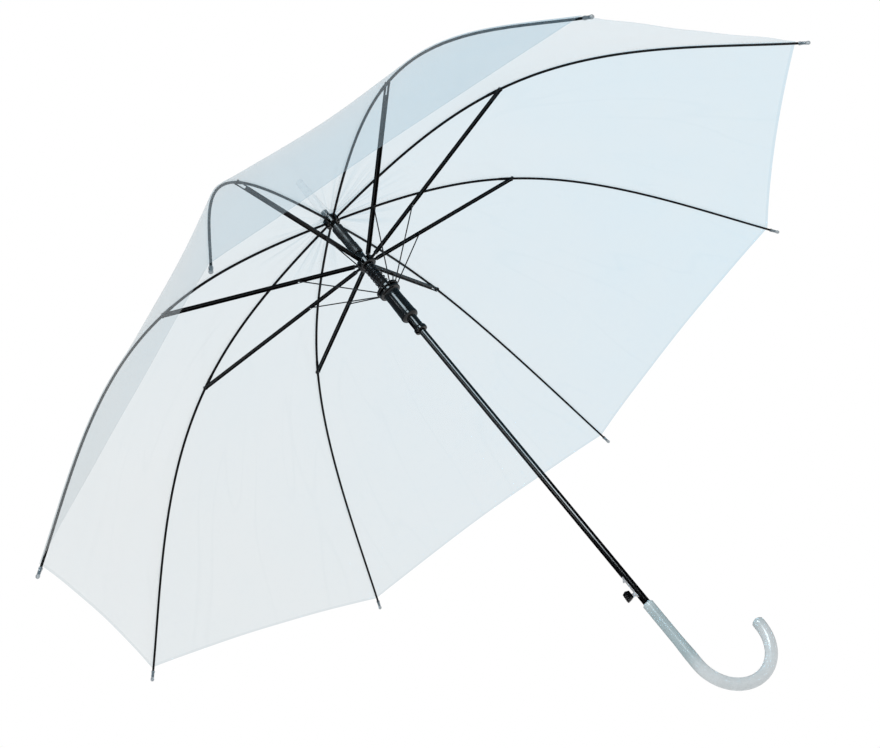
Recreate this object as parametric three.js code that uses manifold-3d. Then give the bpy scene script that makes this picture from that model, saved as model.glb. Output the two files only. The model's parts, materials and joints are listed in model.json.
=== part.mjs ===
// Clear auto-open stick umbrella: eight-rib folding frame, film canopy, hook handle.
// Millimetres. The origin is on the shaft's axis, half way down the straight grip.
// +Z runs up the shaft to the ferrule, and +X is the way the hook of the handle turns.
import * as THREE from "three";
import { mergeVertices } from "three/addons/utils/BufferGeometryUtils.js";
import Module from "manifold-3d";

const wasm = await Module();
wasm.setup();

// ---- Driving dimensions ----
const RIB_COUNT = 8;
const CANOPY_RADIUS = 510; // shaft's axis to the outer ends of the tip caps
const APEX_Z = 624; // where the ribs' curve would cross the shaft's axis
const SHAFT_RADIUS = 4;
const SHAFT_WALL = 0.7;
const PIN_RADIUS = 7.5; // shaft's axis to the hinges in the notch and in the hub
const NOTCH_PIN_Z = APEX_Z - 5;
const JOINT = { x: 245.6, z: APEX_Z - 40.5 }; // rib to stretcher hinge of the first spoke
const HUB_PIN_Z = 2 * JOINT.z - NOTCH_PIN_Z; // the rib and the stretcher are equally long
const STRUT_SHARE = 0.325; // where the strut meets the stretcher, as a share of its length
const STRUT_FOOT = { x: 12.4, z: 504.7 }; // the strut's hook in the runner's flange

const RIB_RADIUS = 1.5;
const RIB_TIP_RADIUS = 1.3;
const LUG_THICKNESS = 1.8; // flattened ends of ribs and stretchers
const LUG_HALF_HEIGHT = 1.4;
const LUG_EYE_RADIUS = 1.8; // outside of a lug around its eye
const EYE_RADIUS = 0.9; // hole in a lug for the ring wire
const RING_WIRE_RADIUS = 0.5;
const STRUT_RADIUS = 0.7;
const CLEARANCE = 0.35;

const FILM_THICKNESS = 0.3;
const FILM_LIFT = 3.3; // middle of the film above the middle of the rib
const CROWN_RISE = 5.1; // how far the film climbs over the notch
const CROWN_RADIUS = 60;
const FILM_INNER = 5.5;
const FILM_OUTER = 501; // at a rib; the hem is cut back between ribs
const HEM_SCALLOP = 4;

const GRIP_TOP_Z = 40;
const GRIP_BOTTOM_Z = -39;
const GRIP_RADIUS = 5.9;
const HOOK_RADIUS = 45; // of the hook's centre line
const HOOK_TUBE_RADIUS = 6.5;
const HOOK_TURN = THREE.MathUtils.degToRad(185);
const FERRULE_TOP_Z = 690;
const FERRULE_BOTTOM_Z = 626.9;
const SHAFT_TOP_Z = 636;

// ---- Materials ----
const finish = (color, roughness, metalness, opacity = 1) =>
  new THREE.MeshStandardMaterial({ color, roughness, metalness, opacity, transparent: opacity < 1 });
const blackSteel = finish(0x17181a, 0.32, 0.7);
const blackPlastic = finish(0x141516, 0.38, 0);
const springSteel = finish(0x2b2d30, 0.3, 0.9);
const brightSteel = finish(0xb9bdc1, 0.3, 0.95);
const clearPlastic = finish(0xd5dde2, 0.2, 0, 0.55);
const milkyPlastic = finish(0xced6dc, 0.3, 0, 0.9);
const clearFilm = finish(0xdfecf2, 0.12, 0, 0.3);

// ---- Solids ----
// Merges the vertices of a three.js geometry and drops the flat triangles at its poles.
function closed(geometry) {
  const bare = geometry.index ? geometry.clone() : geometry;
  bare.deleteAttribute("normal");
  bare.deleteAttribute("uv");
  const merged = mergeVertices(bare, 1e-4);
  const index = merged.index.array;
  const kept = [];
  for (let i = 0; i < index.length; i += 3) {
    const [a, b, c] = [index[i], index[i + 1], index[i + 2]];
    if (a !== b && b !== c && c !== a) kept.push(a, b, c);
  }
  merged.setIndex(kept);
  return merged;
}

function toSolid(geometry) {
  const merged = closed(geometry);
  const mesh = new wasm.Mesh({
    numProp: 3,
    vertProperties: merged.attributes.position.array,
    triVerts: new Uint32Array(merged.index.array),
  });
  return new wasm.Manifold(mesh);
}

function toGeometry(solid) {
  const mesh = solid.getMesh();
  const geometry = new THREE.BufferGeometry();
  geometry.setAttribute("position", new THREE.BufferAttribute(mesh.vertProperties, 3));
  geometry.setIndex(new THREE.BufferAttribute(mesh.triVerts, 1));
  const faceted = geometry.toNonIndexed();
  faceted.computeVertexNormals();
  return faceted;
}

const join = (first, ...others) =>
  toGeometry(others.reduce((sum, other) => sum.add(toSolid(other)), toSolid(first)));
const cut = (first, ...others) =>
  toGeometry(others.reduce((rest, other) => rest.subtract(toSolid(other)), toSolid(first)));

// Turns a closed outline of [radius, z] pairs, listed anticlockwise, about the Z axis.
function turned(outline, segments = 24) {
  const loop = outline.map(([r, z]) => new THREE.Vector2(r, z));
  const onAxis = outline[0][0] === 0 && outline.at(-1)[0] === 0;
  if (!onAxis) loop.push(loop[0].clone());
  return closed(new THREE.LatheGeometry(loop, segments).rotateX(Math.PI / 2));
}

// A straight-sided block between two corners.
function block([x0, y0, z0], [x1, y1, z1]) {
  return new THREE.BoxGeometry(x1 - x0, y1 - y0, z1 - z0).translate(
    (x0 + x1) / 2,
    (y0 + y1) / 2,
    (z0 + z1) / 2,
  );
}

// A cylinder across a spoke, along Y, at (x, z).
function crossPin(radius, halfLength, x, z, segments = 8) {
  return new THREE.CylinderGeometry(radius, radius, 2 * halfLength, segments).translate(x, 0, z);
}

function roundSection(radius, sides) {
  const corners = [];
  for (let i = 0; i < sides; i += 1) {
    const angle = ((i + 0.5) / sides) * 2 * Math.PI;
    corners.push(new THREE.Vector2(radius * Math.cos(angle), radius * Math.sin(angle)));
  }
  return new THREE.Shape(corners);
}

function rod(path, radius, sides, steps) {
  return new THREE.ExtrudeGeometry(roundSection(radius, sides), { steps, extrudePath: path });
}

function torus(ringRadius, tubeRadius, z, sides = 5) {
  return new THREE.TorusGeometry(ringRadius, tubeRadius, sides, 24).translate(0, 0, z);
}

// Eight radial slots, one at each spoke, cut into a notch, hub or flange.
function spokeSlots(halfWidth, fromRadius, toRadius, fromZ, toZ) {
  const slots = [];
  for (let k = 0; k < RIB_COUNT; k += 1) {
    const slot = block([fromRadius, -halfWidth, fromZ], [toRadius, halfWidth, toZ]);
    slots.push(slot.rotateZ(spokeAngle(k)));
  }
  return slots;
}

function spokeAngle(k) {
  return (k * 2 * Math.PI) / RIB_COUNT;
}

// ---- The ribs' curve ----
// Height of the middle of a rib at a distance from the shaft's axis: an even polynomial that
// starts level at the notch, passes the joint and bends down ever faster to the tip.
function ribZ(x) {
  const s = (x / CANOPY_RADIUS) ** 2;
  return APEX_Z - CANOPY_RADIUS * (0.0098 + 0.1567 * s + 0.7003 * s ** 2 - 0.3478 * s ** 3);
}

function ribSlope(x) {
  const s = x / CANOPY_RADIUS;
  return -(0.3134 * s + 2.8012 * s ** 3 - 2.0868 * s ** 5);
}

class RibCurve extends THREE.Curve {
  constructor(fromX, toX) {
    super();
    this.fromX = fromX;
    this.toX = toX;
  }

  getPoint(t, target = new THREE.Vector3()) {
    const x = THREE.MathUtils.lerp(this.fromX, this.toX, t);
    return target.set(x, 0, ribZ(x));
  }
}

// ---- Spoke pieces, all made for the spoke along +X ----
const stretcherLength = Math.hypot(JOINT.x - PIN_RADIUS, JOINT.z - HUB_PIN_Z);
const stretcherRise = Math.atan2(JOINT.z - HUB_PIN_Z, JOINT.x - PIN_RADIUS);
const RIB_ROD_START = 5.5; // from the notch's hinge to where the lug becomes a rod
const JOINT_GAP = 1.4; // from the joint's rivet to each half of the rib

// A flattened lug from a hinge at (x, z) out to endX, and the eye for the ring wire in it.
function lug(x, z, endX) {
  const half = LUG_THICKNESS / 2;
  const bar = block([x, -half, z - LUG_HALF_HEIGHT], [endX, half, z + LUG_HALF_HEIGHT]);
  return join(bar, crossPin(LUG_EYE_RADIUS, half, x, z));
}

const eye = (x, z) => crossPin(EYE_RADIUS, LUG_THICKNESS, x, z);

function ribInner() {
  const rodCurve = new RibCurve(PIN_RADIUS + RIB_ROD_START, JOINT.x - JOINT_GAP);
  const body = join(
    rod(rodCurve, RIB_RADIUS, 6, 7),
    lug(PIN_RADIUS, NOTCH_PIN_Z, PIN_RADIUS + RIB_ROD_START + 2),
  );
  return cut(body, eye(PIN_RADIUS, NOTCH_PIN_Z));
}

const CAP_LENGTH = 12;
const CAP_RADIUS = 2.1;
const CAP_BORE = 7; // depth to which the rib sits in its cap
const tipSlope = ribSlope(CANOPY_RADIUS);
const tipRun = 1 / Math.hypot(1, tipSlope); // radial advance for each millimetre along the tip

function ribOuter() {
  const end = CANOPY_RADIUS - (CAP_LENGTH - CAP_BORE + CLEARANCE) * tipRun;
  return rod(new RibCurve(JOINT.x + JOINT_GAP, end), RIB_TIP_RADIUS, 6, 9);
}

// The cap is turned about Z with its tip at the origin, then laid along the rib's end.
function ribCap() {
  const bore = RIB_TIP_RADIUS + CLEARANCE;
  const outline = [
    [0, CAP_BORE - CAP_LENGTH],
    [bore, CAP_BORE - CAP_LENGTH],
    [bore, -CAP_LENGTH],
    [CAP_RADIUS, -CAP_LENGTH],
    [CAP_RADIUS, -2.2],
    [CAP_RADIUS * 0.75, -0.7],
    [0, 0],
  ];
  const geometry = turned(outline, 10);
  const tilt = Math.PI / 2 - Math.atan(tipSlope);
  return geometry.rotateY(tilt).translate(CANOPY_RADIUS, 0, ribZ(CANOPY_RADIUS));
}

// A channel that opens downwards, with a forked end on the rib and a lug in the hub.
const CHANNEL_HALF_WIDTH = 2.5;
const CHANNEL_WALL = 0.7;
const CHANNEL_TOP = 1.3;
const CHANNEL_BOTTOM = -1.5;
const CHANNEL_START = 8; // from the hub's hinge, clear of the hub when folded
const FORK_LENGTH = 16;
const FORK_EYE_DROP = 0.3; // keeps the fork's round end below the film
const STRUT_HOLE_DROP = 0.35; // the strut's cross bar lies just below the stretcher's line

function stretcher() {
  const length = stretcherLength;
  const half = CHANNEL_HALF_WIDTH;
  const inside = half - CHANNEL_WALL;
  const below = CHANNEL_BOTTOM - 1;
  const forkStart = length - FORK_LENGTH;
  const channel = cut(
    block([CHANNEL_START, -half, CHANNEL_BOTTOM], [length, half, CHANNEL_TOP]),
    block([CHANNEL_START + 2, -inside, below], [length + 1, inside, CHANNEL_TOP - CHANNEL_WALL]),
    block([forkStart, -inside, below], [length + 1, inside, CHANNEL_TOP + 1]),
  );
  const forkEnd = cut(
    crossPin(LUG_EYE_RADIUS, half, length, -FORK_EYE_DROP, 12),
    block([length - 4, -inside, -4], [length + 4, inside, 4]),
  );
  const rivet = crossPin(EYE_RADIUS, half + 0.5, length, 0);
  const body = join(channel, forkEnd, rivet, lug(0, 0, CHANNEL_START + 1));
  const strutAt = STRUT_SHARE * length;
  const strutHole = crossPin(STRUT_RADIUS + CLEARANCE, half + 1, strutAt, -STRUT_HOLE_DROP);
  const holed = cut(body, eye(0, 0), strutHole);
  return holed.rotateY(-stretcherRise).translate(PIN_RADIUS, 0, HUB_PIN_Z);
}

// The point of the first stretcher's line at a share of its length.
function onStretcher(share) {
  return {
    x: PIN_RADIUS + share * (JOINT.x - PIN_RADIUS),
    z: HUB_PIN_Z + share * (JOINT.z - HUB_PIN_Z),
  };
}

// A straight wire whose cross bar turns in the stretcher and whose foot sits in the runner.
function strut() {
  const head = onStretcher(STRUT_SHARE);
  const headZ = head.z - STRUT_HOLE_DROP;
  const line = new THREE.LineCurve3(
    new THREE.Vector3(STRUT_FOOT.x, 0, STRUT_FOOT.z),
    new THREE.Vector3(head.x, 0, headZ),
  );
  const crossBar = crossPin(STRUT_RADIUS, CHANNEL_HALF_WIDTH + 0.7, head.x, headZ);
  return join(rod(line, STRUT_RADIUS, 6, 1), crossBar);
}

// Middle of the film, at a distance along its rib and a turn across the gore. The film is
// stretched straight between ribs, so it follows the chord between two neighbouring ribs.
const halfPitch = Math.PI / RIB_COUNT;

function filmPoint(distance, across) {
  const offCentre = halfPitch * (1 - Math.abs(across));
  const chord = (distance * Math.cos(halfPitch)) / Math.cos(offCentre);
  const angle = halfPitch * across;
  const crown = Math.max(0, 1 - distance / CROWN_RADIUS) ** 2;
  const lift = FILM_LIFT * Math.hypot(1, ribSlope(distance));
  return new THREE.Vector3(
    chord * Math.cos(angle),
    chord * Math.sin(angle),
    ribZ(distance) + lift + CROWN_RISE * crown,
  );
}

// One eighth of the canopy, centred on a rib, as a closed shell of the film's thickness.
const PANEL_REACH = 0.9975; // share of the half pitch, leaves a gap to the next panel

function canopyPanel() {
  const rows = 10;
  const columns = 4;
  const grid = [];
  for (const side of [-0.5, 0.5]) {
    for (let i = 0; i <= rows; i += 1) {
      for (let j = 0; j <= columns; j += 1) {
        const across = PANEL_REACH * ((2 * j) / columns - 1);
        const outer = FILM_OUTER - HEM_SCALLOP * (1 - (1 - Math.abs(across)) ** 2);
        const distance = THREE.MathUtils.lerp(FILM_INNER, outer, (i / rows) ** 0.9);
        const point = filmPoint(distance, across);
        point.z += side * FILM_THICKNESS;
        grid.push(point);
      }
    }
  }
  const layer = (rows + 1) * (columns + 1);
  const at = (side, i, j) => side * layer + i * (columns + 1) + j;
  const faces = [];
  const quad = (a, b, c, d) => faces.push(a, b, c, a, c, d);
  for (let i = 0; i < rows; i += 1) {
    for (let j = 0; j < columns; j += 1) {
      quad(at(1, i, j), at(1, i + 1, j), at(1, i + 1, j + 1), at(1, i, j + 1));
      quad(at(0, i, j), at(0, i, j + 1), at(0, i + 1, j + 1), at(0, i + 1, j));
    }
    quad(at(0, i, 0), at(0, i + 1, 0), at(1, i + 1, 0), at(1, i, 0));
    quad(at(1, i, columns), at(1, i + 1, columns), at(0, i + 1, columns), at(0, i, columns));
  }
  for (let j = 0; j < columns; j += 1) {
    quad(at(1, 0, j), at(1, 0, j + 1), at(0, 0, j + 1), at(0, 0, j));
    quad(at(0, rows, j), at(0, rows, j + 1), at(1, rows, j + 1), at(1, rows, j));
  }
  const geometry = new THREE.BufferGeometry().setFromPoints(grid);
  geometry.setIndex(faces);
  geometry.computeVertexNormals();
  return geometry;
}

// ---- Centre pieces ----
const BORE_RADIUS = SHAFT_RADIUS + CLEARANCE;

// The tube runs from inside the grip to the ferrule's socket, with a slot for the catch.
function shaft() {
  const bottom = GRIP_BOTTOM_Z + 3;
  const inner = SHAFT_RADIUS - SHAFT_WALL;
  const tube = turned([
    [inner, bottom],
    [SHAFT_RADIUS, bottom],
    [SHAFT_RADIUS, SHAFT_TOP_Z],
    [inner, SHAFT_TOP_Z],
  ]);
  const slotHalf = CATCH_HALF_WIDTH + 0.4;
  return cut(tube, block([-6, -slotHalf, CATCH_BOTTOM_Z - 0.5], [-1, slotHalf, CATCH_TOP_Z + 0.5]));
}

function ringGroove(z) {
  return torus(PIN_RADIUS, EYE_RADIUS, z, 6);
}

function ringWire(z) {
  return torus(PIN_RADIUS, RING_WIRE_RADIUS, z);
}

const SLOT_HALF_WIDTH = LUG_THICKNESS / 2 + 0.3;
const SLOT_INNER = PIN_RADIUS - 2.1;

function topNotch() {
  const z = NOTCH_PIN_Z;
  const radius = 9.2;
  const outline = [
    [BORE_RADIUS, z - 4.5],
    [radius - 1, z - 4.5],
    [radius, z - 3.5],
    [radius, z + 4.5],
    [radius - 1, z + 5.5],
    [BORE_RADIUS, z + 5.5],
  ];
  const slots = spokeSlots(SLOT_HALF_WIDTH, SLOT_INNER, radius + 2, z - 6, z + 2.1);
  return cut(turned(outline), ...slots, ringGroove(z));
}

const HUB_BOTTOM_Z = HUB_PIN_Z - 5;
const GUIDE_LENGTH = 34; // the hub's tube that keeps the spring straight
const GUIDE_RADIUS = 5.4;

function hub() {
  const z = HUB_PIN_Z;
  const radius = 10.8;
  const outline = [
    [BORE_RADIUS, HUB_BOTTOM_Z - GUIDE_LENGTH],
    [GUIDE_RADIUS, HUB_BOTTOM_Z - GUIDE_LENGTH],
    [GUIDE_RADIUS, HUB_BOTTOM_Z],
    [radius - 1.2, HUB_BOTTOM_Z],
    [radius, HUB_BOTTOM_Z + 1.6],
    [radius, z + 3.5],
    [radius - 0.8, z + 4.5],
    [5.3, z + 4.5],
    [5.3, z + 15.5],
    [BORE_RADIUS, z + 15.5],
  ];
  const slots = spokeSlots(SLOT_HALF_WIDTH, SLOT_INNER, radius + 2, z - 2.1, z + 6);
  return cut(turned(outline), ...slots, ringGroove(z));
}

function spacerSleeve() {
  const bottom = HUB_PIN_Z + 16.2;
  const top = NOTCH_PIN_Z - 10;
  return turned([
    [BORE_RADIUS, bottom],
    [6, bottom],
    [6.6, bottom + 1],
    [6.6, top - 1],
    [6, top],
    [BORE_RADIUS, top],
  ], 16);
}

const FLANGE_TOP_Z = STRUT_FOOT.z + 1.7;
const RUNNER_BOTTOM_Z = 437;
const POCKET_RADIUS = 7.7;
const POCKET_FLOOR_Z = 463;

// Two flanges hold the struts' hooks. Below them are the spring's pocket and a slim neck. The
// slot in the neck takes the nub of the catch when the umbrella is closed.
function runner() {
  const outline = [
    [BORE_RADIUS, RUNNER_BOTTOM_Z],
    [6.6, RUNNER_BOTTOM_Z],
    [7.5, RUNNER_BOTTOM_Z + 1],
    [7.5, RUNNER_BOTTOM_Z + 4.5],
    [6.1, RUNNER_BOTTOM_Z + 6],
    [6.1, RUNNER_BOTTOM_Z + 20.5],
    [8.6, RUNNER_BOTTOM_Z + 21.2],
    [10.1, RUNNER_BOTTOM_Z + 23],
    [10.3, RUNNER_BOTTOM_Z + 25.5],
    [9.8, RUNNER_BOTTOM_Z + 28],
    [9.5, RUNNER_BOTTOM_Z + 42],
    [9.2, RUNNER_BOTTOM_Z + 60.5],
    [13, RUNNER_BOTTOM_Z + 61.5],
    [13, FLANGE_TOP_Z - 5],
    [10.2, FLANGE_TOP_Z - 4.6],
    [10.2, FLANGE_TOP_Z - 3.6],
    [13.9, FLANGE_TOP_Z - 3.2],
    [13.9, FLANGE_TOP_Z - 0.4],
    [13.5, FLANGE_TOP_Z],
    [POCKET_RADIUS, FLANGE_TOP_Z],
    [POCKET_RADIUS, POCKET_FLOOR_Z],
    [BORE_RADIUS, POCKET_FLOOR_Z],
  ];
  const slots = spokeSlots(1.1, 10.4, 16, FLANGE_TOP_Z - 3.6, FLANGE_TOP_Z + 2);
  const half = CATCH_HALF_WIDTH + 0.4;
  const nubTop = NUB_TOP_Z + RUNNER_DROP;
  const catchSlot = block([-9, -half, RUNNER_BOTTOM_Z - 1], [-2, half, nubTop + 0.4]);
  return cut(turned(outline), ...slots, catchSlot);
}

class Helix extends THREE.Curve {
  constructor(radius, bottom, top, turns) {
    super();
    Object.assign(this, { radius, bottom, top, turns });
  }

  getPoint(t, target = new THREE.Vector3()) {
    const angle = 2 * Math.PI * this.turns * t;
    const z = THREE.MathUtils.lerp(this.bottom, this.top, t);
    return target.set(this.radius * Math.cos(angle), this.radius * Math.sin(angle), z);
  }
}

function openingSpring() {
  const wire = 0.75;
  const turns = 15;
  const path = new Helix(6.8, POCKET_FLOOR_Z + wire + 0.3, HUB_BOTTOM_Z - wire - 0.3, turns);
  return rod(path, wire, 5, turns * 10);
}

// The ferrule's flange presses the film's crown on to the notch, and its socket takes the shaft.
function ferrule() {
  const socketTop = SHAFT_TOP_Z + 1;
  return turned([
    [0, socketTop],
    [BORE_RADIUS, socketTop],
    [BORE_RADIUS, FERRULE_BOTTOM_Z],
    [11, FERRULE_BOTTOM_Z],
    [11, FERRULE_BOTTOM_Z + 1.6],
    [8.5, FERRULE_BOTTOM_Z + 4],
    [6.4, FERRULE_BOTTOM_Z + 9],
    [5.4, FERRULE_TOP_Z - 30],
    [4.6, FERRULE_TOP_Z - 6],
    [4.2, FERRULE_TOP_Z - 1],
    [3.4, FERRULE_TOP_Z],
    [0, FERRULE_TOP_Z],
  ]);
}

// ---- Release catch ----
const CATCH_BOTTOM_Z = 50;
const CATCH_TOP_Z = 76.5;
const CATCH_FACE = 3.8; // the catch strip's outer face, from the shaft's axis
const CATCH_HALF_WIDTH = 1.4;
const NUB_REACH = 6;
const NUB_BOTTOM_Z = 70.5;
const NUB_TOP_Z = 75.1;
const RUNNER_DROP = 379.5; // how far down the shaft the runner goes when the umbrella closes
const BUTTON_INNER = 9.4;
const BUTTON_OUTER = 16.2;
const BUTTON_HALF_WIDTH = 3;
const BUTTON_BOTTOM_Z = 50.4;
const BUTTON_TOP_Z = 61.4;
const STEM = { end: BUTTON_INNER + 1.4, halfWidth: 0.6, bottom: 52.2, top: 56.4 };

// A profile of [distance from the axis, z] pairs on the side away from the hook, as a plate.
function catchPlate(profile, halfWidth) {
  const shape = new THREE.Shape(profile.map(([x, z]) => new THREE.Vector2(x, z)));
  const plate = new THREE.ExtrudeGeometry(shape, { depth: 2 * halfWidth, bevelEnabled: false });
  return plate.rotateX(Math.PI / 2).translate(0, halfWidth, 0).rotateZ(Math.PI);
}

// A spring strip that stands in the shaft's slot. Its nub holds the closed runner, and its
// stem carries the button.
function catchStrip() {
  const inner = CATCH_FACE - 0.8;
  const root = CATCH_FACE - 0.4;
  const strip = block(
    [-CATCH_FACE, -CATCH_HALF_WIDTH, CATCH_BOTTOM_Z],
    [-inner, CATCH_HALF_WIDTH, CATCH_TOP_Z],
  );
  const nubProfile = [
    [root, NUB_BOTTOM_Z],
    [NUB_REACH, NUB_BOTTOM_Z],
    [NUB_REACH, NUB_BOTTOM_Z + 1.4],
    [root, NUB_TOP_Z],
  ];
  const stem = block([-STEM.end, -STEM.halfWidth, STEM.bottom], [-root, STEM.halfWidth, STEM.top]);
  return join(strip, catchPlate(nubProfile, CATCH_HALF_WIDTH), stem);
}

function triggerButton() {
  const body = catchPlate([
    [BUTTON_INNER, BUTTON_BOTTOM_Z + 1.4],
    [BUTTON_OUTER - 1, BUTTON_BOTTOM_Z],
    [BUTTON_OUTER, BUTTON_BOTTOM_Z + 1],
    [BUTTON_OUTER - 0.9, BUTTON_TOP_Z - 1],
    [BUTTON_OUTER - 1.9, BUTTON_TOP_Z],
    [BUTTON_INNER, BUTTON_TOP_Z - 1.2],
  ], BUTTON_HALF_WIDTH);
  const gap = 0.15;
  const socket = block(
    [-STEM.end - gap, -STEM.halfWidth - gap, STEM.bottom - gap],
    [-BUTTON_INNER + 1, STEM.halfWidth + gap, STEM.top + gap],
  );
  return cut(body, socket);
}

class HookCurve extends THREE.Curve {
  getPoint(t, target = new THREE.Vector3()) {
    const angle = HOOK_TURN * t;
    return target.set(
      HOOK_RADIUS * (1 - Math.cos(angle)),
      0,
      GRIP_BOTTOM_Z - HOOK_RADIUS * Math.sin(angle),
    );
  }
}

function handle() {
  const hook = new HookCurve();
  const grip = turned([
    [0, GRIP_BOTTOM_Z - 1],
    [HOOK_TUBE_RADIUS, GRIP_BOTTOM_Z - 1],
    [HOOK_TUBE_RADIUS, GRIP_BOTTOM_Z + 12],
    [GRIP_RADIUS, GRIP_BOTTOM_Z + 30],
    [GRIP_RADIUS, GRIP_TOP_Z - 0.6],
    [GRIP_RADIUS - 0.6, GRIP_TOP_Z],
    [0, GRIP_TOP_Z],
  ], 16);
  const end = hook.getPoint(1);
  const bulb = new THREE.SphereGeometry(HOOK_TUBE_RADIUS, 16, 8).scale(1, 1, 0.8);
  bulb.translate(end.x, end.y, end.z);
  const body = join(grip, rod(hook, HOOK_TUBE_RADIUS, 16, 18), bulb);
  const bore = new THREE.CylinderGeometry(BORE_RADIUS, BORE_RADIUS, 80, 16).rotateX(Math.PI / 2);
  return cut(body, bore.translate(0, 0, GRIP_BOTTOM_Z + 2.5 + 40));
}

// ---- The assembly ----
const umbrella = new THREE.Group();

function place(parent, name, geometry, material) {
  const mesh = new THREE.Mesh(geometry, material);
  mesh.name = name;
  parent.add(mesh);
}

place(umbrella, "shaft", shaft(), blackSteel);
place(umbrella, "top_notch", topNotch(), blackPlastic);
place(umbrella, "notch_ring", ringWire(NOTCH_PIN_Z), springSteel);
place(umbrella, "spacer_sleeve", spacerSleeve(), blackPlastic);
place(umbrella, "ferrule", ferrule(), clearPlastic);
place(umbrella, "hub", hub(), blackPlastic);
place(umbrella, "hub_ring", ringWire(HUB_PIN_Z), springSteel);
place(umbrella, "opening_spring", openingSpring(), springSteel);
place(umbrella, "runner", runner(), blackPlastic);
place(umbrella, "catch_strip", catchStrip(), brightSteel);
place(umbrella, "trigger_button", triggerButton(), blackPlastic);
place(umbrella, "handle", handle(), milkyPlastic);

const spokePieces = {
  rib_inner: [ribInner(), blackSteel],
  rib_outer: [ribOuter(), blackSteel],
  rib_cap: [ribCap(), clearPlastic],
  stretcher: [stretcher(), blackSteel],
  strut: [strut(), springSteel],
  canopy_panel: [canopyPanel(), clearFilm],
};

for (let k = 0; k < RIB_COUNT; k += 1) {
  const spoke = new THREE.Group();
  spoke.rotation.z = spokeAngle(k);
  for (const [name, [geometry, material]] of Object.entries(spokePieces)) {
    place(spoke, `${name}_${k + 1}`, geometry, material);
  }
  umbrella.add(spoke);
}

export default umbrella;
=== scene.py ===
import json
import math

import bpy
import numpy as np
from mathutils import Matrix, Vector


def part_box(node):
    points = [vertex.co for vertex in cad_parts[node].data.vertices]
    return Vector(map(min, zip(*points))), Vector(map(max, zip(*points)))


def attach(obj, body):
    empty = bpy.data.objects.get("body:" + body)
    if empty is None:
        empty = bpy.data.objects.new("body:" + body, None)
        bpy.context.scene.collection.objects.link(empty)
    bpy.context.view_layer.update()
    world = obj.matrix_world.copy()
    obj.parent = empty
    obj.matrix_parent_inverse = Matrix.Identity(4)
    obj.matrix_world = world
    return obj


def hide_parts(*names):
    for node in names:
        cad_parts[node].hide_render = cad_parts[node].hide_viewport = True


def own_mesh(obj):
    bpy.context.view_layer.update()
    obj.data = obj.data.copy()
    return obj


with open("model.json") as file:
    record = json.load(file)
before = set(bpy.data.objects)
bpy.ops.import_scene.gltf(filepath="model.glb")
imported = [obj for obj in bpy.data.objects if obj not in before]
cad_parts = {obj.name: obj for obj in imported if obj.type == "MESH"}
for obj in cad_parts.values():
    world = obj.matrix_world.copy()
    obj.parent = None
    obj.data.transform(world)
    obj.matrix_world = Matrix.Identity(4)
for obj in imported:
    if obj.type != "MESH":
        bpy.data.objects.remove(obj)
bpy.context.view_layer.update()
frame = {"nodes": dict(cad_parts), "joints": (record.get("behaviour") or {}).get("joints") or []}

# ---- Sizes, in metres, from the frame ----
JOINTS = {joint["name"]: joint for joint in frame["joints"]}
RIB_COUNT = 8
PIN_RADIUS, _, NOTCH_Z = JOINTS["rib_fold_1"]["pos_m"]
JOINT_X, _, JOINT_Z = JOINTS["rib_flex_1"]["pos_m"]
HUB_Z = JOINTS["hub_pivot"]["pos_m"][2]
STRUT_X, _, STRUT_Z = JOINTS["strut_fold_1"]["pos_m"]
CANOPY_RADIUS = 0.51  # shaft's axis to the outer ends of the tip caps
APEX_Z = NOTCH_Z + 0.005  # where the ribs' curve would cross the shaft's axis
MM = 0.001
BORE = 4.3  # radius of the holes that slide over the 8 mm shaft, in millimetres
RIB_RADIUS = 1.5 * MM
RIB_TIP_RADIUS = 1.3 * MM
SLEEVE_RADIUS = 1.75 * MM
SLEEVE_LENGTH = 16 * MM
JOINT_GAP = 1.4 * MM  # from the joint's rivet to each half of the rib
STRUT_FOOT = (12.4 * MM, 504.7 * MM)  # the strut's hook in the runner's flange
STRUT_RADIUS = 0.7 * MM
COIL_RADIUS = 6.8 * MM
COIL_WIRE = 0.75 * MM
COIL_TURNS = 15
HOOK_TUBE_RADIUS = 6.5 * MM
GRIP_RADIUS = 5.9 * MM
HOOK_TURN = math.radians(185)


def top_of(node):
    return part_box(node)[1][2]


def bottom_of(node):
    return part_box(node)[0][2]


# ---- Camera ----
VIEW_AZIMUTH = math.radians(-32.99)
VIEW_ELEVATION = math.radians(-23.82)
VIEW_ROLL = math.radians(-39.37)
VIEW_DISTANCE = 1.7344
VIEW_TARGET = Vector((-0.0127, 0.0082, 0.3822))
LENS_MM = 64.35
SENSOR_MM = 36


def make_camera():
    back = Vector((
        math.sin(VIEW_AZIMUTH) * math.cos(VIEW_ELEVATION),
        -math.cos(VIEW_AZIMUTH) * math.cos(VIEW_ELEVATION),
        math.sin(VIEW_ELEVATION),
    ))
    right = Vector((math.cos(VIEW_AZIMUTH), math.sin(VIEW_AZIMUTH), 0))
    level = Matrix((right, back.cross(right), back)).transposed()
    data = bpy.data.cameras.new("camera")
    data.lens = LENS_MM
    data.sensor_width = SENSOR_MM
    camera = bpy.data.objects.new("camera", data)
    bpy.context.collection.objects.link(camera)
    turn = level @ Matrix.Rotation(VIEW_ROLL, 3, "Z")
    camera.matrix_world = Matrix.Translation(VIEW_TARGET + back * VIEW_DISTANCE) @ turn.to_4x4()
    bpy.context.scene.camera = camera


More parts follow.
